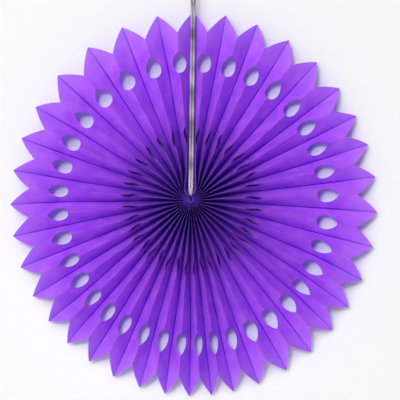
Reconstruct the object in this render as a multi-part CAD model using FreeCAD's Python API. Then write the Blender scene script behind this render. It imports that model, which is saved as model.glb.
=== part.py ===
import FreeCAD, Part
import math
import os

# A paper fan rosette: one long strip of tissue card, pleated, die cut at every second fold, and
# opened round into a full circle. A thread through the inner end of every panel binds the core,
# and a doubled cord, knotted to that thread, lies in the top pleat and hangs the fan from a hook.
# The fan faces -Y, +Z is up, and the origin is the inside top of the cord's loop, on the hook.

# The paper strip
PETALS = 37  # points round the rim, with a panel on each side of every point
STRIP_WIDTH = 123.5  # from the bound inner edge to the tips
PAPER = 0.12  # thickness of the card
FOLD_REACH = 1.6  # the most that a fold's two faces stand apart along Y, where the pleats close up

# How the strip stands when it is opened
CORE_RADIUS = 0.8  # the inner edges stand this far from the centre
RIM_HALF_BREADTH = 122.1  # through the tips
RIM_HALF_HEIGHT = 127.8
RIM_SHIFT_X = 2.0  # the middle of the rim, from the middle of the core
RIM_SHIFT_Z = -3.5
TOP_TIP = 90.0  # direction of the first tip, before the uneven spread, in degrees
SPREAD_MEAN = 2.65  # the pleats aren't drawn round evenly: wide at the upper left, tight below
SPREAD_WAVES = (  # times round the circle, cosine part and sine part in degrees
    (1, -0.87, 10.81), (2, -1.40, -1.48), (3, -0.66, 0.25),
    (4, -0.22, -0.41), (6, 0.0, -0.66), (7, -0.24, 0.0),
)

# How wide the panels are folded: this much more than the mean distance of two folds at the rim
PLEAT_FULLNESS = 1.3363
PANEL_WIDTH = PLEAT_FULLNESS * math.pi * max(RIM_HALF_BREADTH, RIM_HALF_HEIGHT) / PETALS

# The cuts, along the strip's width from the inner edge, and into each panel from its front fold
NOTCH = 109.5  # where two tips part
TIP_BOW = 0.06  # how far a tip's cut edge bows out, as a share of its length
EYE_START = 82.9
EYE_LENGTH = 14.3
EYE_CUT = 7.7
EYE_WIDEST = 0.42  # where along its length the eye is cut deepest
EYE_BLUNT = 0.55  # the lower, the rounder its inner end
EYE_OUTLINE = (0.0, 0.1, EYE_WIDEST, 0.75, 1.0)  # shares of its length where its edge has corners
SLIT_START = 34.7
SLIT_LENGTH = 12.5
SLIT_CUT = 2.3
SLIT_OUTLINE = (0.0, 0.3, 0.7, 1.0)
TIP_OUTLINE = (0.0, 0.25, 0.5, 0.75, 1.0)

# The binding thread and its punched holes
THREAD_DIAMETER = 0.8
THREAD_RADIUS = 3.2  # of the ring that it makes round the core
THREAD_DEPTH = 3.4  # behind the front folds
THREAD_CLEARANCE = 0.3
RING_SIDES = 8  # flats round the section of the thread

# The hanging cord
CORD_DIAMETER = 1.6
CORD_GAP = 0.1  # between its two strands
HOOK_DIAMETER = 5.0
HANG_HEIGHT = 150.0  # from the core's centre to the inside top of the loop
PARTING_BELOW_HOOK = 20.0  # the strands run apart from here up to the hook
RUN_SHARE = 0.45  # how much of its shorter run a bend in the cord may take up

# The knot that ties the cord to the thread, drawn to a taper between the panels
KNOT_TOP = 4.3  # above the thread, where the strands come out of it
KNOT_WAIST = 1.0  # its radius at the thread
KNOT_TAIL = 1.0  # below the thread
THREAD_FIT = 0.05  # between the thread and the knot drawn round it

# How the top pleat opens for the cord near the core
GAP_LEFT = 2.9  # each front fold stands at least this far from the cord's middle
GAP_RIGHT = 2.9
BULGE_LEFT = 1.5  # and this much further round the knot
BULGE_RIGHT = 0.5
BULGE_AT = 9.0  # distance of that bulge from the centre
BULGE_SPAN = 6.0
WIDEST_LEFT = 42.0  # the opening's half angles at the core, in degrees
WIDEST_RIGHT = 30.0
CROWDING = 60.0  # the pleats beside the opening close up over about this many degrees
EASE = 1.0  # degrees over which a fold starts to give way to the cord

FULL_TURN = 360.0
DIGITS = 6  # places are the same point when they agree to this many decimals
SEWING = 1e-5
SHORTEST_RUN = 1e-6
STATIONS_CORE = (10.0, 18.0, 26.0)  # places where a panel's crease bends near the core
STATION_MIDDLE = 0.5 * (SLIT_START + SLIT_LENGTH + EYE_START)


def spread_angle(petal):
    """Direction of a tip in degrees, seen from the front; halves give the folds between tips."""
    turn = 2 * math.pi * petal / PETALS
    angle = TOP_TIP + FULL_TURN * petal / PETALS + SPREAD_MEAN
    for order, cosine, sine in SPREAD_WAVES:
        angle += cosine * math.cos(order * turn) + sine * math.sin(order * turn)
    return angle


def rim_radius(angle):
    """Distance from the core's centre to the oval rim, in that direction."""
    across, up = math.cos(math.radians(angle)), math.sin(math.radians(angle))
    a = (across / RIM_HALF_BREADTH) ** 2 + (up / RIM_HALF_HEIGHT) ** 2
    b = across * RIM_SHIFT_X / RIM_HALF_BREADTH**2 + up * RIM_SHIFT_Z / RIM_HALF_HEIGHT**2
    c = (RIM_SHIFT_X / RIM_HALF_BREADTH) ** 2 + (RIM_SHIFT_Z / RIM_HALF_HEIGHT) ** 2 - 1
    return (b + math.sqrt(b * b - a * c)) / a


def opening(radius, gap, bulge, widest):
    """Half angle that the cord needs at that radius, up to the widest one."""
    half_gap = gap + bulge * math.exp(-(((radius - BULGE_AT) / BULGE_SPAN) ** 2))
    return math.degrees(math.asin(min(half_gap / radius, math.sin(math.radians(widest)))))


def pushed(needed, free):
    """How far a fold is pushed aside, in degrees: what is needed past its free place, softly."""
    short = needed - free
    return 0.5 * (short + math.hypot(short, EASE))


def crease_angle(crease, radius):
    """Direction of a fold at a radius. Even folds are valleys, and fold 0 is the cord's own."""
    first, last = spread_angle(0.5), spread_angle(PETALS - 0.5)
    top = spread_angle(0)
    angle = spread_angle(crease / 2)
    if crease == 0:
        return angle
    left = pushed(opening(radius, GAP_LEFT, BULGE_LEFT, WIDEST_LEFT), first - top)
    right = pushed(opening(radius, GAP_RIGHT, BULGE_RIGHT, WIDEST_RIGHT), top + FULL_TURN - last)
    angle += left * math.exp(-(angle - first) / CROWDING)
    return angle - right * math.exp(-(last - spread_angle(crease / 2)) / CROWDING)


def crease_radius(crease, along):
    """Distance of a fold's point from the centre, for a distance along the strip's width."""
    rim = rim_radius(spread_angle(crease / 2))
    return CORE_RADIUS + along * (rim - CORE_RADIUS) / STRIP_WIDTH


def turned(crease, step, radius):
    """Angle between a fold and the one before or after it, round the circle."""
    creases = 2 * PETALS
    other = (crease + step) % creases
    angle = abs(crease_angle(other, radius) - crease_angle(crease, radius))
    return min(angle, FULL_TURN - angle)


def crease_points(crease, along):
    """The front and the back point of a fold. Even folds lie at the back, odd ones at the front."""
    radius = crease_radius(crease, along)
    angle = math.radians(crease_angle(crease, radius))
    mean_turn = 0.5 * (turned(crease, -1, radius) + turned(crease, 1, radius))
    chord = 2 * radius * math.sin(math.radians(mean_turn / 2))
    depth = math.sqrt(PANEL_WIDTH**2 - chord**2)
    wall = min(PAPER * PANEL_WIDTH / chord, FOLD_REACH)
    middle = 0.5 * (depth - wall) * (1 if crease % 2 == 0 else -1)
    x, z = radius * math.cos(angle), radius * math.sin(angle)
    return FreeCAD.Vector(x, middle - wall / 2, z), FreeCAD.Vector(x, middle + wall / 2, z)


def eye_cut(share):
    """How deep the eye is cut into a panel: rounder at its inner end than at its outer."""
    taper = EYE_BLUNT * (1 - EYE_WIDEST) / EYE_WIDEST
    peak = EYE_WIDEST**EYE_BLUNT * (1 - EYE_WIDEST) ** taper
    return EYE_CUT * share**EYE_BLUNT * (1 - share) ** taper / peak


def slit_cut(share):
    """How deep the slit is cut into a panel: a slim lens."""
    return SLIT_CUT * 4 * share * (1 - share)


def tip_along(share):
    """Where a tip's cut edge lies when it has crossed that share of the panel: a bowed line."""
    return NOTCH + (STRIP_WIDTH - NOTCH) * (share + 4 * TIP_BOW * share * (1 - share))


def cut_outline():
    """The panel's stations: distance along the strip, and the stretches of paper left there."""
    whole = [(0.0, PANEL_WIDTH)]
    half_hole = THREAD_DIAMETER / 2 + THREAD_CLEARANCE
    middle = THREAD_RADIUS - CORE_RADIUS
    deepened = PANEL_WIDTH / (PANEL_WIDTH - FOLD_REACH)
    hole_front = (THREAD_DEPTH - half_hole - FOLD_REACH) * deepened
    hole_back = (THREAD_DEPTH + half_hole) * deepened
    punched = [(0.0, hole_front), (hole_back, PANEL_WIDTH)]
    stations = [(0.0, whole), (middle - half_hole, punched), (middle + half_hole, punched)]
    stations += [(along, whole) for along in STATIONS_CORE]
    for share in SLIT_OUTLINE:
        stations.append((SLIT_START + share * SLIT_LENGTH, [(slit_cut(share), PANEL_WIDTH)]))
    stations.append((STATION_MIDDLE, whole))
    for share in EYE_OUTLINE:
        stations.append((EYE_START + share * EYE_LENGTH, [(eye_cut(share), PANEL_WIDTH)]))
    for share in TIP_OUTLINE:
        stations.append((tip_along(share), [(share * PANEL_WIDTH, PANEL_WIDTH)]))
    return stations


def panel_facets(front_fold, back_fold, stations):
    """Flat triangles of one panel's two faces and of its cut edges, ruled from fold to fold."""
    facets = []

    def points(index, across):
        """The front and back points of the panel, that far across it from its front fold."""
        share = across / PANEL_WIDTH
        return [a + (b - a) * share for a, b in zip(front_fold[index], back_fold[index])]

    def strip(near, near_cuts, far, far_cuts):
        """Fills the paper between two stations and closes it along both faces."""
        i, j = 0, 0
        while i + 1 < len(near_cuts) or j + 1 < len(far_cuts):
            step_near = j + 1 == len(far_cuts) or (
                i + 1 < len(near_cuts) and near_cuts[i + 1] <= far_cuts[j + 1]
            )
            a, b = points(near, near_cuts[i]), points(far, far_cuts[j])
            if step_near:
                i += 1
                c = points(near, near_cuts[i])
            else:
                j += 1
                c = points(far, far_cuts[j])
            facets.append((a[0], b[0], c[0]))
            facets.append((a[1], c[1], b[1]))

    def cut_edge(near, near_across, far, far_across):
        """Closes the paper's thickness along a cut."""
        a, b = points(near, near_across), points(far, far_across)
        facets.append((a[0], a[1], b[1]))
        facets.append((a[0], b[1], b[0]))

    for index in range(len(stations) - 1):
        near, far = stations[index][1], stations[index + 1][1]
        if len(near) == len(far):
            for (near_low, near_high), (far_low, far_high) in zip(near, far):
                strip(index, distinct(near_low, near_high), index + 1, distinct(far_low, far_high))
                if near_low > 0 or far_low > 0:
                    cut_edge(index, near_low, index + 1, far_low)
                if near_high < PANEL_WIDTH:
                    cut_edge(index + 1, far_high, index, near_high)
        else:
            every_near = [value for stretch in near for value in stretch]
            every_far = [value for stretch in far for value in stretch]
            strip(index, every_near, index + 1, every_far)
            if len(near) > len(far):
                cut_edge(index, every_near[1], index, every_near[2])
            else:
                cut_edge(index + 1, every_far[2], index + 1, every_far[1])
    cut_edge(0, PANEL_WIDTH, 0, 0.0)
    return facets


def distinct(low, high):
    """The two ends of a stretch of paper, or its one point at a tip."""
    return [low] if low == high else [low, high]


def folded_paper():
    """The whole strip as one closed solid, panel by panel round the circle."""
    stations = cut_outline()
    creases = 2 * PETALS
    folds = [[crease_points(fold, along) for along, _ in stations] for fold in range(creases)]
    facets = []
    for ridge in range(1, creases, 2):
        facets += panel_facets(folds[ridge], folds[ridge - 1], stations)
        mirrored = panel_facets(folds[ridge], folds[(ridge + 1) % creases], stations)
        facets += [(a, c, b) for a, b, c in mirrored]
    places = {}
    corners = []
    for facet in facets:
        keys = [(round(p.x, DIGITS), round(p.y, DIGITS), round(p.z, DIGITS)) for p in facet]
        corners.append(tuple(places.setdefault(key, len(places)) for key in keys))
    shape = Part.Shape()
    shape.makeShapeFromMesh(([FreeCAD.Vector(*key) for key in places], corners), SEWING)
    return outward(Part.Solid(Part.Shell(shape.Faces)))


def outward(solid):
    """The solid with its faces turned outwards."""
    if solid.Volume < 0:
        solid.reverse()
    return solid


def core_centre():
    """The core's centre: straight below the hook along the top valley, which leans a little."""
    lean = math.radians(spread_angle(0))
    return FreeCAD.Vector(-HANG_HEIGHT * math.cos(lean), 0, -HANG_HEIGHT * math.sin(lean))


def thread_offset():
    """How far the thread's ring lies in front of the fan's middle plane, along Y."""
    return THREAD_DEPTH - PANEL_WIDTH / 2


def ring(thickness):
    """A closed ring with a section of RING_SIDES flats, in the thread's place round the core."""
    corners = []
    for side in range(RING_SIDES + 1):
        turn = 2 * math.pi * (side + 0.5) / RING_SIDES
        out = THREAD_RADIUS + thickness / 2 * math.cos(turn)
        corners.append(FreeCAD.Vector(out, thread_offset() + thickness / 2 * math.sin(turn), 0))
    section = Part.Face(Part.makePolygon(corners))
    return outward(section.revolve(FreeCAD.Vector(), FreeCAD.Vector(0, 1, 0), FULL_TURN))


def binding_ring():
    """The thread, closed round the core through every panel's hole, about the core's centre."""
    return ring(THREAD_DIAMETER)


def cord_placement():
    """Where the cord starts on the thread: its own Z runs up to the hook and X goes across."""
    lean = math.radians(spread_angle(0))
    up = FreeCAD.Vector(math.cos(lean), 0, math.sin(lean))
    start = core_centre() + up * THREAD_RADIUS + FreeCAD.Vector(0, thread_offset(), 0)
    along = (start * -1).normalize()
    across = FreeCAD.Vector(0, 1, 0).cross(along).normalize()
    return FreeCAD.Placement(start, FreeCAD.Rotation(across, along.cross(across), along, "ZXY"))


def cord_route():
    """The cord's corners, from knot to knot round the hook, and the radius of each bend."""
    height = cord_placement().Base.Length
    side = (CORD_DIAMETER + CORD_GAP) / 2
    bend = (HOOK_DIAMETER + CORD_DIAMETER) / 2
    below = PARTING_BELOW_HOOK - HOOK_DIAMETER / 2
    lean_out = math.asin(bend / math.hypot(side, below)) - math.atan2(side, below)
    rise = PARTING_BELOW_HOOK + CORD_DIAMETER / 2
    corner = side + rise * math.tan(lean_out)
    half = [
        FreeCAD.Vector(side, 0, KNOT_TOP),
        FreeCAD.Vector(side, 0, height - PARTING_BELOW_HOOK),
        FreeCAD.Vector(corner, 0, height + CORD_DIAMETER / 2),
    ]
    other = [FreeCAD.Vector(-p.x, 0, p.z) for p in reversed(half)]
    easy = RUN_SHARE * rise / math.tan(lean_out / 2)
    return half + other, [easy, bend, bend, easy]


def rounded_path(corners, radii):
    """Straight runs joined by tangent arcs of those radii."""
    edges = []
    start = corners[0]
    for before, corner, after, radius in zip(corners, corners[1:], corners[2:], radii):
        back, on = (before - corner).normalize(), (after - corner).normalize()
        half_turn = (math.pi - back.getAngle(on)) / 2
        reach = radius * math.tan(half_turn)
        first, last = corner + back * reach, corner + on * reach
        inward = (back + on).normalize()
        middle = corner + inward * (radius / math.cos(half_turn) - radius)
        if (first - start).Length > SHORTEST_RUN:
            edges.append(Part.LineSegment(start, first).toShape())
        edges.append(Part.Arc(first, middle, last).toShape())
        start = last
    edges.append(Part.LineSegment(start, corners[-1]).toShape())
    return Part.Wire(edges)


def hanging_loop():
    """One cord, up from the knot, over the hook and down again, both strands side by side."""
    corners, radii = cord_route()
    print("cord bends", [round(radius, 2) for radius in radii])
    path = rounded_path(corners, radii)
    section = Part.Face(Part.Wire(Part.makeCircle(CORD_DIAMETER / 2, corners[0])))
    tube = outward(path.makePipe(section))
    print("cord length", round(path.Length, 1), "fill", tube.Volume / (section.Area * path.Length))
    tube.Placement = cord_placement()
    return tube


def loop_knot():
    """The knot, turned to a taper round the cord's axis, flat where the strands come out."""
    top = CORD_DIAMETER + CORD_GAP / 2
    radius = FreeCAD.Vector(KNOT_WAIST, 0, 0)
    tail = FreeCAD.Vector(0, 0, -KNOT_TAIL)
    bottom = Part.Arc(tail, (radius + tail) * math.sqrt(0.5), radius).toShape()
    shoulder = FreeCAD.Vector(top, 0, KNOT_TOP)
    flank = Part.LineSegment(radius, shoulder).toShape()
    lid = Part.LineSegment(shoulder, FreeCAD.Vector(0, 0, KNOT_TOP)).toShape()
    axis = Part.LineSegment(FreeCAD.Vector(0, 0, KNOT_TOP), tail).toShape()
    profile = Part.Face(Part.Wire([bottom, flank, lid, axis]))
    knot = outward(profile.revolve(FreeCAD.Vector(), FreeCAD.Vector(0, 0, 1), FULL_TURN))
    knot.Placement = cord_placement()
    groove = ring(THREAD_DIAMETER + 2 * THREAD_FIT)
    groove.translate(core_centre())
    return knot.cut(groove)


os.makedirs("parts", exist_ok=True)
paper = folded_paper()
paper.translate(core_centre())
thread = binding_ring()
thread.translate(core_centre())
for name, shape in (
    ("pleated_rosette", paper),
    ("binding_thread", thread),
    ("loop_knot", loop_knot()),
    ("hanging_loop", hanging_loop()),
):
    shape.exportStep("parts/" + name + ".step")
    print(name, shape.isValid(), len(shape.Solids), round(shape.Volume, 1), shape.BoundBox)
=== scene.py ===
import math

import bpy
import numpy as np
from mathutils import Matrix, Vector


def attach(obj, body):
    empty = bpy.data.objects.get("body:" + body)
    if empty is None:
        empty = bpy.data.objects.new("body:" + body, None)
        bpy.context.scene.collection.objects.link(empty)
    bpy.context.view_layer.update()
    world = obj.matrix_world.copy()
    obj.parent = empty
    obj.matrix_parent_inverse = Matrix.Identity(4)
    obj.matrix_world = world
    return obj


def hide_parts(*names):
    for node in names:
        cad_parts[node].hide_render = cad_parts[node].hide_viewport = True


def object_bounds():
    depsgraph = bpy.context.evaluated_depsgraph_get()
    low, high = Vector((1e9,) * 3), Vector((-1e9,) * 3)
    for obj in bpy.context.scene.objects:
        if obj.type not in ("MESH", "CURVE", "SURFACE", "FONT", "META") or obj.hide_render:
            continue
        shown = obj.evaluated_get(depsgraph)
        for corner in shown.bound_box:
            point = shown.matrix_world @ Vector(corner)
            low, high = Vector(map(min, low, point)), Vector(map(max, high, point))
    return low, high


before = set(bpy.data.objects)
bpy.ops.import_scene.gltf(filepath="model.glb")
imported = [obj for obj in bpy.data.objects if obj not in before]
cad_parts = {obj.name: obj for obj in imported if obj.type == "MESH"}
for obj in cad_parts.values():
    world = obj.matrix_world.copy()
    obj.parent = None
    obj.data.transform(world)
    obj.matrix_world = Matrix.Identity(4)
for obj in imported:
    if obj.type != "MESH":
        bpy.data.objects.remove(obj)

CAD_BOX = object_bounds()

# The folded card
# One long strip of violet tissue card, pleated and die cut while it lay folded, then drawn round
# into a full circle and glued end to end. Its sizes are in millimetres.

MILLIMETRE = 0.001
PETALS = 37
PANEL_WIDTH = 14.5
STRIP_WIDTH = 123.5
PAPER = 0.12
FOLD_REACH = 1.6
HANG_HEIGHT = 150.0

# Creases are counted round from the one behind the cord. The even ones are back folds, which run
# out to the points, and the odd ones are front folds, where notches, eyes and slits are cut.
CREASES = 2 * PETALS

# The points lie on an ellipse whose middle is off the core, and aren't spread quite evenly.
CORE_RADIUS = 0.8
RIM_HALF_BREADTH = 122.1
RIM_HALF_HEIGHT = 127.8
RIM_SHIFT_X = 2.0
RIM_SHIFT_Z = -3.5
TOP_TIP = 90.0
SPREAD_MEAN = 2.65
SPREAD_WAVES = (
    (1, -0.87, 10.81), (2, -1.40, -1.48), (3, -0.66, 0.25),
    (4, -0.22, -0.41), (6, 0.0, -0.66), (7, -0.24, 0.0),
)


def spread_angle(petal):
    """Direction of a point in degrees: even steps round the circle plus slow waves."""
    turn = 2 * np.pi * petal / PETALS
    waves = [
        cosine * np.cos(order * turn) + sine * np.sin(order * turn)
        for order, cosine, sine in SPREAD_WAVES
    ]
    return TOP_TIP + 360 * petal / PETALS + SPREAD_MEAN + sum(waves)


def rim_radius(angle):
    """Distance to an ellipse from a point beside its middle: the root of its quadratic."""
    across, up = np.cos(np.radians(angle)), np.sin(np.radians(angle))
    a = (across / RIM_HALF_BREADTH) ** 2 + (up / RIM_HALF_HEIGHT) ** 2
    b = across * RIM_SHIFT_X / RIM_HALF_BREADTH**2 + up * RIM_SHIFT_Z / RIM_HALF_HEIGHT**2
    c = (RIM_SHIFT_X / RIM_HALF_BREADTH) ** 2 + (RIM_SHIFT_Z / RIM_HALF_HEIGHT) ** 2 - 1
    return (b + np.sqrt(b * b - a * c)) / a


# The cord parts the top pleat. Each side keeps a gap, bulges near the core and turns no more
# than its widest angle, in degrees, and the pleats beside it crowd up.
CORD_GAP = 2.9
BULGE_LEFT, BULGE_RIGHT = 1.5, 0.5
BULGE_AT, BULGE_SPAN = 9.0, 6.0
WIDEST_LEFT, WIDEST_RIGHT = 42.0, 30.0
PUSH_SOFTNESS = 1.0
CROWDING = 60.0


def pushed(radius, bulge, widest, free):
    """How far the cord pushes a fold aside: the angle it needs past the free one, with the bend
    at zero rounded as half of x plus the root of x squared plus the softness squared."""
    half_gap = CORD_GAP + bulge * np.exp(-(((radius - BULGE_AT) / BULGE_SPAN) ** 2))
    needed = np.degrees(np.arcsin(np.minimum(half_gap / radius, np.sin(np.radians(widest)))))
    short = needed - free
    return 0.5 * (short + np.sqrt(short * short + PUSH_SOFTNESS**2))


def crease_angle(crease, radius):
    """Direction of a fold at a radius: its free angle, plus the push of the cord, which dies away
    as the exponential of the angle from the parted pleat."""
    free = spread_angle(crease / 2)
    first, last, top = spread_angle(0.5), spread_angle(PETALS - 0.5), spread_angle(0.0)
    left = pushed(radius, BULGE_LEFT, WIDEST_LEFT, first - top)
    right = pushed(radius, BULGE_RIGHT, WIDEST_RIGHT, top + 360 - last)
    moved = free + left * np.exp(-(free - first) / CROWDING)
    moved -= right * np.exp(-(last - free) / CROWDING)
    return np.where(crease == 0, free, moved)


# Every cut starts at a distance along the strip's width, from the core's edge towards the points,
# and reaches a depth in from the front fold.
HOLE_START, HOLE_END, PAST_HOLE = 1.7, 3.1, 4.0
SLIT_START, SLIT_LENGTH, SLIT_CUT = 34.7, 12.5, 1.2
EYE_START, EYE_LENGTH, EYE_CUT = 82.9, 14.3, 7.7
EYE_WIDEST, EYE_BLUNT = 0.42, 0.55
NOTCH = 109.5
TIP_BOW = 0.06


def eased_rows(start, end, count, power=1.0):
    """Evenly spaced distances, or ones that crowd towards the start with a power over 1."""
    return start + (end - start) * np.linspace(0, 1, count + 1) ** power


slit_share = np.linspace(0, 1, 11)
eye_share = np.linspace(0, 1, 17) ** 1.5
tip_share = np.linspace(0, 1, 13)
up_to_slit = np.concatenate([
    [0.0, HOLE_START, HOLE_END], eased_rows(PAST_HOLE, SLIT_START, 12, 1.2)[:-1]])
up_to_eye = eased_rows(SLIT_START + SLIT_LENGTH, EYE_START, 12)[1:-1]
up_to_notch = eased_rows(EYE_START + EYE_LENGTH, NOTCH, 5)[1:-1]
along = np.concatenate([
    up_to_slit,
    SLIT_START + SLIT_LENGTH * slit_share,
    up_to_eye,
    EYE_START + EYE_LENGTH * eye_share,
    up_to_notch,
    NOTCH + (STRIP_WIDTH - NOTCH) * (tip_share + 4 * TIP_BOW * tip_share * (1 - tip_share)),
])

# A slit is a shallow arch. An eye is a drop, its length's share to one power times the rest to
# another, widest at EYE_WIDEST. At a notch the cut crosses the whole panel to the point.
eye_taper = EYE_BLUNT * (1 - EYE_WIDEST) / EYE_WIDEST
eye_peak = EYE_WIDEST**EYE_BLUNT * (1 - EYE_WIDEST) ** eye_taper
cut = np.concatenate([
    np.zeros(len(up_to_slit)),
    SLIT_CUT * 4 * slit_share * (1 - slit_share),
    np.zeros(len(up_to_eye)),
    EYE_CUT * eye_share**EYE_BLUNT * (1 - eye_share) ** eye_taper / eye_peak,
    np.zeros(len(up_to_notch)),
    PANEL_WIDTH * tip_share,
])

# A panel keeps its width, so the less of it the chord between its folds takes up, the deeper it
# stands. Its thickness is measured from front to back: it grows as the panel stands up, and at
# the core it stops at FOLD_REACH.
fold = np.arange(CREASES, dtype=float)[:, None]
radius = CORE_RADIUS + along * (rim_radius(spread_angle(fold / 2)) - CORE_RADIUS) / STRIP_WIDTH
angle = crease_angle(fold, radius)
before = (angle - np.roll(angle, 1, axis=0)) % 360
after = (np.roll(angle, -1, axis=0) - angle) % 360
chord = 2 * radius * np.sin(np.radians(0.5 * (before + after) / 2))
depth = np.sqrt(PANEL_WIDTH**2 - chord**2)
wall = np.minimum(PAPER * PANEL_WIDTH / chord, FOLD_REACH)

# At the core the card is crowded and glued: its front grooves close up, all but the cord's own,
# which is too wide for its distance from the core.
PRESSED_FULLY, PRESSED_UNTIL = 2.5, 9.0
PRESSED_MOST, PRESSED_EASE = 0.95, 0.6
NARROW_GROOVE = 0.2
pressed = np.clip((PRESSED_UNTIL - radius) / (PRESSED_UNTIL - PRESSED_FULLY), 0, 1)
pressed = PRESSED_MOST * pressed**PRESSED_EASE * (chord < NARROW_GROOVE * radius)

# The pleats aren't dead straight: each fold wanders a little from its line as a sum of three
# sines, more in the middle of its length than at the bound core, and sways to and fro at a slit.
WANDER, WANDER_BEHIND_CORD = 0.22, 0.3
WANDER_STARTS, WANDER_GROWS = 20.0, 40.0
SLIT_SWAY = 0.55
chance = np.random.default_rng(seed=37)
wander = sum(
    chance.normal(0, WANDER, (CREASES, 1))
    * np.sin(np.pi * waves * along / STRIP_WIDTH + chance.uniform(0, 2 * np.pi, (CREASES, 1)))
    for waves in (1.0, 2.0, 3.0)
) * np.clip((along - WANDER_STARTS) / WANDER_GROWS, 0, 1)
wander[0] *= WANDER_BEHIND_CORD
at_slit = np.clip((along - SLIT_START) / SLIT_LENGTH, 0, 1)
to_and_fro = SLIT_SWAY * np.sin(2 * np.pi * at_slit) * (fold % 2)
wander += to_and_fro * chance.choice([-1, 1], (CREASES, 1))
angle = angle + np.degrees(wander / radius)
creases = np.stack([
    radius * np.cos(np.radians(angle)),
    0.5 * (depth - wall) * np.where(fold % 2 == 0, 1.0, -1.0),
    radius * np.sin(np.radians(angle)),
], axis=-1)

# A panel is a grid of rows along the strip's width and columns from its front fold to its back.
# Where the front fold is cut, the columns start at the cut. Panel 0 runs from crease 1 back to
# crease 0, panel 1 from crease 1 on to crease 2, and so on round.
COLUMNS = np.array([0.0, 0.0853, 0.2, 0.3178, 0.43, 0.56, 0.7, 0.85, 1.0])
ridge = np.repeat(np.arange(1, CREASES, 2), 2)
valley = (ridge + np.tile([-1, 1], PETALS)) % CREASES
share = (cut[:, None] + (PANEL_WIDTH - cut[:, None]) * COLUMNS) / PANEL_WIDTH
share = np.broadcast_to(share, (CREASES, *share.shape))


def across_panels(at_folds, share):
    """Values on every panel: straight lines from the front fold's value to the back fold's."""
    return at_folds[ridge][:, :, None] * (1 - share) + at_folds[valley][:, :, None] * share


# Between its folds a panel bows and ripples a little, as card does: half a sine across it, as
# high as a steady bow plus three slow sines along the strip's width.
BOW, BOW_VARIES, RIPPLE = 0.12, 0.16, 0.10
RIPPLE_LENGTHS = (34.0, 55.0, 90.0)
BOW_STARTS, BOW_GROWS = 12.0, 45.0
bow = chance.normal(BOW, BOW_VARIES, (CREASES, 1)) + sum(
    chance.normal(0, RIPPLE, (CREASES, 1))
    * np.sin(2 * np.pi * along / length + chance.uniform(0, 2 * np.pi, (CREASES, 1)))
    for length in RIPPLE_LENGTHS
)
bow *= np.clip((along - BOW_STARTS) / BOW_GROWS, 0, 1)
across = creases[valley][:, :, None] - creases[ridge][:, :, None]
outward = np.cross(across, np.gradient(creases, axis=1)[ridge][:, :, None])
outward /= np.linalg.norm(outward, axis=-1, keepdims=True)
outward *= np.where(outward[..., 1:2] > 0, -1, 1)
crossed = share[..., None]
bowed = outward * bow[:, :, None, None] * np.sin(np.pi * crossed) * (crossed < 1) * (crossed > 0)
sheet = across_panels(creases, crossed) + bowed

# The panels share the points on their folds. The UV map is the flat strip in metres, with u from
# the core's edge to the points and v along the strip.
points, index = np.unique(np.round(sheet.reshape(-1, 3), 7), axis=0, return_inverse=True)
index = index.reshape(share.shape)
point_wall, point_pressed = np.zeros(len(points)), np.zeros(len(points))
point_wall[index] = across_panels(wall, share)
point_pressed[index] = across_panels(pressed, share)
panel = np.arange(CREASES)[:, None, None]
down_strip = (panel + np.where(panel % 2 == 0, 1 - share, share)) * PANEL_WIDTH
flat_strip = np.stack([np.broadcast_to(along[:, None], share.shape), down_strip], -1) * MILLIMETRE

# The thread's punched hole is two cells of each panel's grid.
paper_left = np.ones((CREASES, len(along) - 1, len(COLUMNS) - 1), bool)
paper_left[:, 1, 1:3] = False


def panel_faces(grid):
    """The corner values of each cell with paper in it, in order round the cell, and the other way
    round on every second panel, so that all faces point forward."""
    cells = np.stack([grid[:, :-1, :-1], grid[:, :-1, 1:], grid[:, 1:, 1:], grid[:, 1:, :-1]], 3)
    cells[::2] = np.flip(cells[::2], axis=3).copy()
    return cells[paper_left]


def edge_walls(faces, face_uvs, count):
    """Side faces along each edge that only one face uses, from the front layer to the back."""
    start, end = faces, np.roll(faces, -1, axis=1)
    keep = start != end
    start, end = start[keep], end[keep]
    uv, uv_end = face_uvs[keep], np.roll(face_uvs, -1, axis=1)[keep]
    low, high = np.minimum(start, end), np.maximum(start, end)
    _, which, uses = np.unique(low * count + high, return_inverse=True, return_counts=True)
    open_edge = uses[which.ravel()] == 1
    a, b = start[open_edge], end[open_edge]
    wall_uvs = np.stack([uv, uv, uv_end, uv_end], axis=1)[open_edge]
    return np.stack([a, a + count, b + count, b], axis=1), wall_uvs


def paper_mesh(name):
    """The closed sheet: the grid's layer moved half a wall forward and back, and its cut edges. A
    cell that closes to a triangle at a cut's end loses its repeated corner."""
    count = len(points)
    half = np.zeros((count, 3))
    half[:, 1] = point_wall / 2
    fore = points - half
    fore[:, 1] += point_pressed * (-PANEL_WIDTH / 2 - fore[:, 1])
    places = np.concatenate([fore, points + half]) + core_centre
    front, front_uvs = panel_faces(index), panel_faces(flat_strip)
    sides, side_uvs = edge_walls(front, front_uvs, count)
    faces = np.concatenate([front, front[:, ::-1] + count, sides])
    face_uvs = np.concatenate([front_uvs, front_uvs[:, ::-1], side_uvs])
    repeated = faces == np.roll(faces, -1, axis=1)
    closed_up = repeated.any(axis=1)
    triangles = faces[closed_up][~repeated[closed_up]].reshape(-1, 3)
    triangle_uvs = face_uvs[closed_up][~repeated[closed_up]]
    mesh = bpy.data.meshes.new(name)
    mesh.from_pydata(
        (places * MILLIMETRE).tolist(), [], faces[~closed_up].tolist() + triangles.tolist())
    uv = mesh.uv_layers.new(name="strip")
    uv.data.foreach_set("uv", np.concatenate([
        face_uvs[~closed_up].ravel(), triangle_uvs.ravel()]))
    mesh.update()
    return mesh


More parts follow.
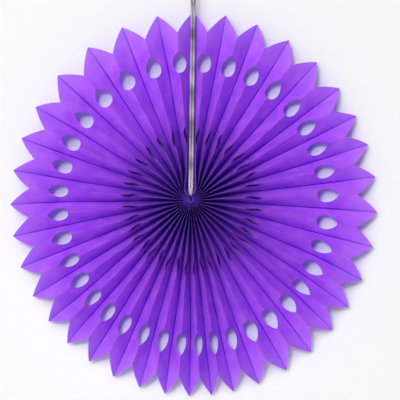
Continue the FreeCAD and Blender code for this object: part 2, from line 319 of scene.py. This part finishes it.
# The hook is at the frame's origin, and the core hangs below it on the line of the top point.
SHARP_FOLD = 20
lean = math.radians(float(spread_angle(0.0)))
core_centre = np.array([-HANG_HEIGHT * math.cos(lean), 0, -HANG_HEIGHT * math.sin(lean)])
card = bpy.data.objects.new("folded_card", paper_mesh("folded_card"))
bpy.context.collection.objects.link(card)
card.data.shade_smooth()
card.data.set_sharp_from_angle(angle=math.radians(SHARP_FOLD))


def linear(hex_colour):
    """An sRGB hex colour as linear red, green, blue and alpha."""
    parts = [int(hex_colour[i:i + 2], 16) / 255 for i in (1, 3, 5)]
    return [p / 12.92 if p <= 0.04045 else ((p + 0.055) / 1.055) ** 2.4 for p in parts] + [1.0]


def add(tree, kind, links=(), **settings):
    """A node of that kind with its settings. Links pair an input with a socket or a value. A Mix
    node's inputs are 0 for the share, 2 and 3 for numbers and 6 and 7 for colours, and a Map
    Range node's are 0 for the value, 1 and 2 for where it comes from, 3 and 4 for where to."""
    made = tree.nodes.new(kind)
    for name, value in settings.items():
        setattr(made, name, value)
    for socket, value in dict(links).items():
        if isinstance(value, bpy.types.NodeSocket):
            tree.links.new(value, made.inputs[socket])
        else:
            made.inputs[socket].default_value = value
    return made


def new_material(name):
    """An empty material with its output node."""
    material = bpy.data.materials.new(name)
    material.use_nodes = True
    material.node_tree.nodes.clear()
    return material, material.node_tree, material.node_tree.nodes.new("ShaderNodeOutputMaterial")


# The card's patterns in millimetres: the dye's clouds and the fibres that stripe them, the widths
# of the lines on its folds, and the distances from the core's edge where its colour changes. The
# valley line is a pressed crease with painted shade and the ridge line a painted highlight; the
# colour changes from the core out are painted shade and painted light.
# Real fibres are finer: FIBRE_SIZE is as coarse as they have to be to show.
CLOUD_SIZE = 11.0
FIBRE_SIZE = 1.6
FIBRE_SHARE = 0.45
VALLEY_LINE = 1.3
RIDGE_LINE = 0.35
CORE_RIDGE_LINE = 1.5
PLEATS_CLOSED, PLEATS_OPEN = 12.0, 60.0
RIM_PALE_STARTS, RIM_PALE_ENDS = 98.0, 124.0
CORE_PALE_FULLY, CORE_PALE_ENDS = 3.0, 8.0
# Painted shade round the slits: its margin past the cut and the softness of its edge.
SLIT_SHADE_MARGIN, SLIT_SHADE_BLUR = 1.7, 0.4
# How strongly each of them shows, from 0 to 1.
VALLEY_CREASE_AND_SHADE, PLEAT_SHADE, RIDGE_HIGHLIGHT, HIGHLIGHT_AWAY_FROM_CORE, RIM_PALENESS, SLIT_SHADE = 0.85, 0.72, 0.7, 0.25, 0.5, 0.98
SEEN_THROUGH = 0.36


def tissue_card():
    """Dyed tissue card: matt and mottled by its fibres. Painted light and shade lie on its colour:
    it is painted paler towards the rim and at the core, a painted highlight runs along its ridges,
    and it is painted darker as shade in its closed pleats and near black round its slits. Its
    valley folds are darker as pressed creases and as painted shade. Light shines through it."""
    material, tree, out = new_material("violet_tissue_card")
    strip = add(tree, "ShaderNodeUVMap", uv_map="strip").outputs["UV"]
    cloud = add(tree, "ShaderNodeTexNoise", {
        "Vector": strip, "Scale": 1 / (CLOUD_SIZE * MILLIMETRE), "Detail": 3.0})
    lengthened = add(tree, "ShaderNodeMapping", {"Vector": strip, "Scale": (1.0, 4.0, 1.0)})
    fibre = add(tree, "ShaderNodeTexNoise", {
        "Vector": lengthened.outputs[0], "Scale": 1 / (FIBRE_SIZE * MILLIMETRE), "Detail": 4.0,
        "Roughness": 0.6})
    mottle = add(tree, "ShaderNodeMix", {
        0: FIBRE_SHARE, 2: cloud.outputs["Fac"], 3: fibre.outputs["Fac"]}, data_type="FLOAT")
    dye = add(tree, "ShaderNodeValToRGB", {"Fac": mottle.outputs[0]})
    dye.color_ramp.elements[0].position, dye.color_ramp.elements[1].position = 0.36, 0.64
    dye.color_ramp.elements[0].color = linear("#bb54fa")
    dye.color_ramp.elements[1].color = linear("#e07aff")

    # From the strip's place: how far a point is from its valley and ridge folds and the core.
    place = add(tree, "ShaderNodeSeparateXYZ", {0: strip})
    from_core = place.outputs["X"]
    from_valley = add(tree, "ShaderNodeMath", {
        0: place.outputs["Y"], 1: PANEL_WIDTH * MILLIMETRE}, operation="PINGPONG")
    from_ridge = add(tree, "ShaderNodeMath", {
        0: PANEL_WIDTH * MILLIMETRE, 1: from_valley.outputs[0]}, operation="SUBTRACT")
    closed_up = add(tree, "ShaderNodeMapRange", {
        0: from_core, 1: PLEATS_CLOSED * MILLIMETRE, 2: PLEATS_OPEN * MILLIMETRE, 3: 1.0, 4: 0.0},
        interpolation_type="SMOOTHSTEP")

    # Pressed crease and painted shade: the card is darker along its valley folds, where the crease
    # is pressed and where shade falls in the fold.
    valley_crease_and_shade = add(tree, "ShaderNodeMapRange", {
        0: from_valley.outputs[0], 1: 0.0, 2: VALLEY_LINE * MILLIMETRE, 3: VALLEY_CREASE_AND_SHADE, 4: 0.0},
        interpolation_type="SMOOTHSTEP")
    # Painted shade: the card is painted darker where the pleats close up near the core, as shade
    # falls deep in them.
    pleat_shade = add(tree, "ShaderNodeMath", {
        0: PLEAT_SHADE, 1: closed_up.outputs[0]}, operation="MULTIPLY")
    # Painted light: the card is painted paler towards the rim, where the flatter pleats catch more
    # light.
    paler_at_rim = add(tree, "ShaderNodeMapRange", {
        0: from_core, 1: RIM_PALE_STARTS * MILLIMETRE, 2: RIM_PALE_ENDS * MILLIMETRE, 3: 0.0, 4: RIM_PALENESS})
    # Painted light: the card is painted paler at the core, where its pressed front faces the
    # light.
    paler_at_core = add(tree, "ShaderNodeMapRange", {
        0: from_core, 1: CORE_PALE_FULLY * MILLIMETRE, 2: CORE_PALE_ENDS * MILLIMETRE, 3: 1.0, 4: 0.0},
        interpolation_type="SMOOTHSTEP")

    # The painted highlight on a ridge, where light catches the fold's front, is wider and paler
    # where the pleats are closed.
    line_reach = add(tree, "ShaderNodeMath", {
        0: closed_up.outputs[0], 1: CORE_RIDGE_LINE * MILLIMETRE, 2: RIDGE_LINE * MILLIMETRE},
        operation="MULTIPLY_ADD")
    highlight_line = add(tree, "ShaderNodeMapRange", {
        0: from_ridge.outputs[0], 1: 0.0, 2: line_reach.outputs[0], 3: RIDGE_HIGHLIGHT, 4: 0.0})
    highlight_strength = add(tree, "ShaderNodeMath", {
        0: HIGHLIGHT_AWAY_FROM_CORE, 1: closed_up.outputs[0]}, operation="ADD")
    on_ridge_highlight = add(tree, "ShaderNodeMath", {
        0: highlight_line.outputs[0], 1: highlight_strength.outputs[0]}, operation="MULTIPLY")

    # The painted shade round a slit, near black where its inside lies in shade, is an arch a
    # little wider than its cut.
    at_slit = add(tree, "ShaderNodeMapRange", {
        0: from_core, 1: SLIT_START * MILLIMETRE, 2: (SLIT_START + SLIT_LENGTH) * MILLIMETRE,
        3: 0.0, 4: 1.0})
    slit_rest = add(tree, "ShaderNodeMath", {0: 1.0, 1: at_slit.outputs[0]}, operation="SUBTRACT")
    slit_arch = add(tree, "ShaderNodeMath", {
        0: at_slit.outputs[0], 1: slit_rest.outputs[0]}, operation="MULTIPLY")
    shade_width_at_slit = add(tree, "ShaderNodeMath", {
        0: slit_arch.outputs[0], 1: 4 * (SLIT_CUT + SLIT_SHADE_MARGIN) * MILLIMETRE}, operation="MULTIPLY")
    past_slit_shade = add(tree, "ShaderNodeMath", {
        0: from_ridge.outputs[0], 1: shade_width_at_slit.outputs[0]}, operation="SUBTRACT")
    shade_at_slit = add(tree, "ShaderNodeMapRange", {
        0: past_slit_shade.outputs[0], 1: -SLIT_SHADE_BLUR * MILLIMETRE, 2: 0.0, 3: SLIT_SHADE, 4: 0.0},
        interpolation_type="SMOOTHSTEP")

    colour = dye.outputs["Color"]
    # Each tint is laid over the dye in turn: pressed crease with painted shade in the valleys,
    # painted shade in the closed pleats, a painted highlight on the ridges, painted light at the
    # rim and the core, and painted shade round the slits.
    for amount, tint in (
            (valley_crease_and_shade, "#5510bc"), (pleat_shade, "#5a22cc"), (on_ridge_highlight, "#cdb4e6"),
            (paler_at_rim, "#eab0ff"), (paler_at_core, "#a878f0"), (shade_at_slit, "#160338")):
        colour = add(tree, "ShaderNodeMix", {
            0: amount.outputs[0], 6: colour, 7: linear(tint)}, data_type="RGBA").outputs[2]
    bump = add(tree, "ShaderNodeBump", {
        "Strength": 0.5, "Distance": 0.0002, "Height": mottle.outputs[0]})
    face = add(tree, "ShaderNodeBsdfPrincipled", {
        "Base Color": colour, "Roughness": 0.9, "Specular IOR Level": 0.05,
        "Normal": bump.outputs["Normal"]})
    dyed_through = add(tree, "ShaderNodeMix", {
        0: 1.0, 6: colour, 7: linear("#a040ff")}, data_type="RGBA", blend_type="MULTIPLY")
    through = add(tree, "ShaderNodeBsdfTranslucent", {"Color": dyed_through.outputs[2]})
    both = add(tree, "ShaderNodeMixShader", {
        0: SEEN_THROUGH, 1: face.outputs[0], 2: through.outputs[0]})
    tree.links.new(both.outputs[0], out.inputs["Surface"])
    return material


card.data.materials.append(tissue_card())
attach(card, "root")
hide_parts("pleated_rosette")

# The binding thread
# A twisted polyester thread through the punched hole of every panel, drawn round the core and
# tied. Only glimpses of it show between the pleats. Sizes from here on are in metres.

THREAD_LAY = 0.000403


def diagonal_scale(spacing):
    """The Wave texture's scale for diagonal bands a spacing apart: its phase is ten times the
    scale times x + y + z, and that sum grows by the root of three along the bands' normal."""
    return 2 * math.pi / (10 * math.sqrt(3) * spacing)


def thread_yarn():
    """Spun polyester thread: matt, with the two plies' slanting lay as a fine wave."""
    material, tree, out = new_material("spun_thread")
    place = add(tree, "ShaderNodeTexCoord").outputs["Object"]
    plies = add(tree, "ShaderNodeTexWave", {
        "Vector": place, "Scale": diagonal_scale(THREAD_LAY), "Distortion": 1.0},
        bands_direction="DIAGONAL")
    bump = add(tree, "ShaderNodeBump", {
        "Strength": 0.6, "Distance": 0.0001, "Height": plies.outputs["Fac"]})
    shade = add(tree, "ShaderNodeValToRGB", {"Fac": plies.outputs["Fac"]})
    shade.color_ramp.elements[0].color = linear("#4a2290")
    shade.color_ramp.elements[1].color = linear("#6d3ac0")
    yarn = add(tree, "ShaderNodeBsdfPrincipled", {
        "Base Color": shade.outputs["Color"], "Roughness": 0.75, "Normal": bump.outputs["Normal"]})
    tree.links.new(yarn.outputs[0], out.inputs["Surface"])
    return material


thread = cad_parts["binding_thread"]
thread.data.materials.clear()
thread.data.materials.append(thread_yarn())

# The hanging cord
# One satin cord, doubled: up from the knot in the top pleat, round the hook, and down again. It
# is pulled tight by the fan's weight, with its two strands side by side.

CORD_DIAMETER = 0.0016
# Coarser than the real lay, so that it shows.
CORD_LAY = 0.001395
CORD_PATCHES = 0.01667
THREAD_RADIUS = 0.0032
THREAD_FORWARD = 0.00385
THREAD_POINT = core_centre * MILLIMETRE + np.array([
    THREAD_RADIUS * math.cos(lean), -THREAD_FORWARD, THREAD_RADIUS * math.sin(lean)])
# Places in the cord's own plane: sideways of its middle line, and up from the thread.
CORD_ROUTE = [
    (0.00085, 0.0043), (0.00085, 0.065), (0.00085, 0.1225), (0.00087, 0.1285),
    (0.0031, 0.1378), (0.0041, 0.1477), (-0.0041, 0.1477), (-0.0031, 0.1378),
    (-0.00087, 0.1285), (-0.00085, 0.1225), (-0.00085, 0.065), (-0.00085, 0.0043)]
CORD_TOP = -THREAD_POINT / np.linalg.norm(THREAD_POINT)
CORD_ACROSS = np.cross([0.0, 1.0, 0.0], CORD_TOP)
CORD_ACROSS /= np.linalg.norm(CORD_ACROSS)


def on_cord(sideways, upward):
    """A place in the cord's plane: the thread's, plus so much across it and so much up it."""
    return THREAD_POINT + CORD_ACROSS * sideways + CORD_TOP * upward


def cord_curve(name, route, width):
    """A round tube along a NURBS spline with the route's points as its control points."""
    data = bpy.data.curves.new(name, "CURVE")
    data.dimensions = "3D"
    data.bevel_depth = width / 2
    data.bevel_resolution = 6
    data.resolution_u = 24
    data.use_fill_caps = True
    spline = data.splines.new("NURBS")
    spline.points.add(len(route) - 1)
    for control, (sideways, upward) in zip(spline.points, route):
        control.co = (*on_cord(sideways, upward), 1.0)
    spline.order_u = 3
    spline.use_endpoint_u = True
    made = bpy.data.objects.new(name, data)
    bpy.context.collection.objects.link(made)
    return made


def satin_cord():
    """Satin polyester cord: silvery in patches, with a soft shine and a fine slanting lay."""
    material, tree, out = new_material("silver_satin_cord")
    place = add(tree, "ShaderNodeTexCoord").outputs["Object"]
    lay = add(tree, "ShaderNodeTexWave", {
        "Vector": place, "Scale": diagonal_scale(CORD_LAY), "Distortion": 2.0, "Detail": 1.0},
        bands_direction="DIAGONAL")
    patches = add(tree, "ShaderNodeTexNoise", {
        "Vector": place, "Scale": 1 / CORD_PATCHES, "Detail": 2.0})
    shade = add(tree, "ShaderNodeValToRGB", {"Fac": patches.outputs["Fac"]})
    shade.color_ramp.elements[0].position, shade.color_ramp.elements[1].position = 0.35, 0.65
    shade.color_ramp.elements[0].color = linear("#564c55")
    shade.color_ramp.elements[1].color = linear("#b8adbc")
    bump = add(tree, "ShaderNodeBump", {
        "Strength": 0.5, "Distance": 0.00015, "Height": lay.outputs["Fac"]})
    satin = add(tree, "ShaderNodeBsdfPrincipled", {
        "Base Color": shade.outputs["Color"], "Roughness": 0.35, "Specular IOR Level": 0.6,
        "Sheen Weight": 0.2, "Normal": bump.outputs["Normal"]})
    tree.links.new(satin.outputs[0], out.inputs["Surface"])
    return material


silver = satin_cord()
cord = cord_curve("hanging_cord", CORD_ROUTE, CORD_DIAMETER)
cord.data.materials.append(silver)
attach(cord, "root")
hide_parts("hanging_loop")

# The knot
# The cord's own turns, drawn tight round the binding thread. They taper down between the panels
# that they push apart.

KNOT_TOP, KNOT_TAIL = 0.0043, 0.001
KNOT_GIRTH = 0.0016
KNOT_FULLNESS = 0.8
KNOT_TURNS = 4.5
KNOT_RIDGE = 0.0001
# The stretch of half a sine wave that its outline follows, from its tail to its top.
KNOT_WAVE_STARTS, KNOT_WAVE_SPANS = 0.04, 0.62
KNOT_LOOSE_EDGE = 60


def knot_mesh(name):
    """A taper turned round the cord's axis: its girth is a stretch of half a sine wave to a power,
    plus the turns of cord, a cosine of the turns made so far less the angle round."""
    upward = np.linspace(-KNOT_TAIL, KNOT_TOP, 72)[:, None]
    around = np.linspace(0, 2 * np.pi, 48, endpoint=False)[None, :]
    share = (upward + KNOT_TAIL) / (KNOT_TOP + KNOT_TAIL)
    wave = np.sin(np.pi * (KNOT_WAVE_STARTS + KNOT_WAVE_SPANS * share))
    girth = KNOT_GIRTH * wave**KNOT_FULLNESS
    girth = girth + KNOT_RIDGE * np.cos(2 * np.pi * KNOT_TURNS * share - around)
    sideways, forward = girth * np.cos(around), girth * np.sin(around)
    normal = np.cross(CORD_TOP, CORD_ACROSS)
    places = THREAD_POINT + (
        CORD_ACROSS * sideways[..., None] + normal * forward[..., None]
        + CORD_TOP * (upward + 0 * around)[..., None])
    high, wide = places.shape[:2]
    corner = np.arange(high * wide).reshape(high, wide)
    beside = np.roll(corner, -1, axis=1)
    faces = np.stack([corner[:-1], beside[:-1], beside[1:], corner[1:]], -1).reshape(-1, 4)
    ends = [corner[0][::-1].tolist(), corner[-1].tolist()]
    mesh = bpy.data.meshes.new(name)
    mesh.from_pydata(places.reshape(-1, 3).tolist(), [], faces.tolist() + ends)
    mesh.update()
    mesh.shade_smooth()
    mesh.set_sharp_from_angle(angle=math.radians(KNOT_LOOSE_EDGE))
    return mesh


knot = bpy.data.objects.new("cord_knot", knot_mesh("cord_knot"))
bpy.context.collection.objects.link(knot)
knot.data.materials.append(silver)
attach(knot, "root")
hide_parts("loop_knot")

# The wall, the floor and the light
# The fan hangs a few millimetres off a white wall. Soft light falls on it from in front and from
# the upper left, and a lamp behind the wall serves views of the back.

WALL_GAP = 0.0035
ROOM = 3.0
FLOOR_DROP = 0.35


def stage_plane(name, corners, material):
    """A flat four-cornered sheet that isn't part of the fan."""
    mesh = bpy.data.meshes.new(name)
    mesh.from_pydata(corners, [], [(0, 1, 2, 3)])
    mesh.materials.append(material)
    made = bpy.data.objects.new(name, mesh)
    bpy.context.collection.objects.link(made)


def wall_paint():
    """White emulsion. From behind it shows nothing, and it stops no lamp's light, so that the
    fan's back can be seen and lit."""
    material, tree, out = new_material("white_wall")
    paint = add(tree, "ShaderNodeBsdfDiffuse", {"Color": linear("#eeeeee")})
    clear = add(tree, "ShaderNodeBsdfTransparent")
    path = add(tree, "ShaderNodeLightPath")
    behind = add(tree, "ShaderNodeNewGeometry").outputs["Backfacing"]
    hidden = add(tree, "ShaderNodeMath", {
        0: behind, 1: path.outputs["Is Shadow Ray"]}, operation="MAXIMUM")
    mix = add(tree, "ShaderNodeMixShader", {
        0: hidden.outputs[0], 1: paint.outputs[0], 2: clear.outputs[0]})
    tree.links.new(mix.outputs[0], out.inputs["Surface"])
    return material


def floor_paint():
    """A plain pale matt floor."""
    material, tree, out = new_material("pale_floor")
    paint = add(tree, "ShaderNodeBsdfDiffuse", {"Color": linear("#f2f2f2")})
    tree.links.new(paint.outputs[0], out.inputs["Surface"])
    return material


wall_y = CAD_BOX[1][1] + WALL_GAP
floor_z = CAD_BOX[0][2] - FLOOR_DROP
stage_plane("wall", [
    (-ROOM, wall_y, floor_z), (ROOM, wall_y, floor_z),
    (ROOM, wall_y, ROOM), (-ROOM, wall_y, ROOM)], wall_paint())
stage_plane("floor", [
    (-ROOM, -ROOM, floor_z), (ROOM, -ROOM, floor_z),
    (ROOM, ROOM, floor_z), (-ROOM, ROOM, floor_z)], floor_paint())

fan_middle = core_centre * MILLIMETRE


def area_lamp(name, offset, size, watts):
    """A square soft lamp at an offset from the fan's middle, facing it."""
    data = bpy.data.lights.new(name, "AREA")
    data.size = size
    data.energy = watts
    made = bpy.data.objects.new(name, data)
    made.location = fan_middle + np.array(offset)
    made.rotation_mode = "QUATERNION"
    made.rotation_quaternion = Vector(offset).to_track_quat("Z", "Y")
    bpy.context.collection.objects.link(made)


area_lamp("key", (-0.34, -1.68, 0.38), size=0.3, watts=10.5)
area_lamp("rear", (0.3, 1.6, 0.6), size=1.0, watts=6.0)

# The surroundings are plain white to the camera, to gloss and to what is seen through. The light
# that they cast is a soft ring in front of the fan, nearly all in its upper left part. Each pair
# gives a direction and the light's share there. The direction is a Y, which is -1 straight in
# front, or how far it points to the upper left.
HOLLOW_OF_RING, FULL_RING = (-0.98, 0.1), (-0.9, 1.9)
RING_THINS, RING_GONE = (-0.87, 1.0), (-0.7, 0.03)
UPPER_LEFT = (-0.6, 0.0, 0.8)
BESIDE_IT, TOWARDS_IT = (0.0, 0.03), (0.5, 3.0)
PLAIN_WHITE = 1.0

world = bpy.data.worlds.new("studio")
bpy.context.scene.world = world
world.use_nodes = True
studio = world.node_tree
studio.nodes.clear()
ray = add(studio, "ShaderNodeLightPath").outputs
seen = add(studio, "ShaderNodeMath", {
    0: ray["Is Camera Ray"], 1: ray["Is Glossy Ray"]}, operation="MAXIMUM")
shown = add(studio, "ShaderNodeMath", {
    0: seen.outputs[0], 1: ray["Is Transmission Ray"]}, operation="MAXIMUM")
heading = add(studio, "ShaderNodeTexCoord").outputs["Generated"]
depth_axis = add(studio, "ShaderNodeSeparateXYZ", {0: heading}).outputs["Y"]
upper_left = add(studio, "ShaderNodeVectorMath", {
    0: heading, 1: UPPER_LEFT}, operation="DOT_PRODUCT").outputs["Value"]
inside, outside, aslant = (
    add(studio, "ShaderNodeMapRange", {0: value, 1: start[0], 2: end[0], 3: start[1], 4: end[1]},
        interpolation_type="SMOOTHSTEP")
    for value, start, end in (
        (depth_axis, HOLLOW_OF_RING, FULL_RING), (depth_axis, RING_THINS, RING_GONE),
        (upper_left, BESIDE_IT, TOWARDS_IT)))
ring = add(studio, "ShaderNodeMath", {
    0: inside.outputs[0], 1: outside.outputs[0]}, operation="MULTIPLY")
cast = add(studio, "ShaderNodeMath", {
    0: ring.outputs[0], 1: aslant.outputs[0]}, operation="MULTIPLY")
strength = add(studio, "ShaderNodeMapRange", {
    0: shown.outputs[0], 3: cast.outputs[0], 4: PLAIN_WHITE})
sky = add(studio, "ShaderNodeBackground", {
    "Color": linear("#ffffff"), "Strength": strength.outputs[0]})
add(studio, "ShaderNodeOutputWorld", {"Surface": sky.outputs[0]})

# The camera
# It looks straight at the wall. The photograph spans 265 mm at the fan, and the fan's core lies
# at (190.7, 199.2) in its 400 pixels.

PHOTO_SIZE = 400
PHOTO_SPAN = 0.2649
CORE_PIXEL = (190.7, 199.2)
CAMERA_DISTANCE = 0.9
SENSOR = 36.0
per_pixel = PHOTO_SPAN / PHOTO_SIZE
lens = bpy.data.cameras.new("camera")
lens.sensor_width = SENSOR
lens.lens = SENSOR * CAMERA_DISTANCE / PHOTO_SPAN
camera = bpy.data.objects.new("camera", lens)
camera.location = fan_middle + np.array([
    (PHOTO_SIZE / 2 - CORE_PIXEL[0]) * per_pixel, -CAMERA_DISTANCE,
    (CORE_PIXEL[1] - PHOTO_SIZE / 2) * per_pixel])
camera.rotation_euler = (math.pi / 2, 0.0, 0.0)
bpy.context.collection.objects.link(camera)
bpy.context.scene.camera = camera
bpy.context.scene.view_settings.view_transform = "Standard"
